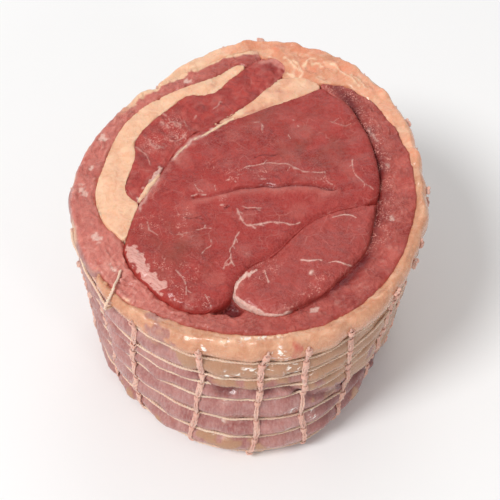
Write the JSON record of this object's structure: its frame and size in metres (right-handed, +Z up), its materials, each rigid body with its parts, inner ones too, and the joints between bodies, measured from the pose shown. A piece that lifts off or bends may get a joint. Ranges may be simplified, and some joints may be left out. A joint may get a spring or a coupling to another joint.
{
  "type": "raw beef joint",
  "caption": "Raw rolled beef roasting joint standing on its cut end, with a marbled cut face, fat seams, an outer fat cap and elastic netting round the side.",
  "frame": {"origin": "on the floor, on the flat cut base, under the middle of the joint", "axes": "+Z up from the base through the cut face; -Y towards the front, where the net's best seen chains are; +X to the right"},
  "size_m": [0.1429, 0.1573, 0.0958],
  "materials": {
    "lean_core": "raw lean beef, moist, with fine marbling",
    "lean_inner": "raw lean beef, moist, slightly paler",
    "lean_wrap": "raw lean beef with a rough open grain, and silvery skin on the side",
    "seam_fat": "cream to peach fat between the muscles, slightly greasy",
    "outer_fat": "salmon to cream outer fat, tan and wet under its skin lower down",
    "net": "pale cream elastic strands and pinkish knitted cotton chains"
  },
  "bodies": {
    "root": {"core_muscle": "lean_core", "flap_muscle": "lean_core", "inner_muscle": "lean_inner", "wrap_muscle": "lean_wrap", "fat_seam": "seam_fat", "fat_wedge": "seam_fat", "fat_cover": "outer_fat", "netting": "net"}
  },
  "joints": []
}
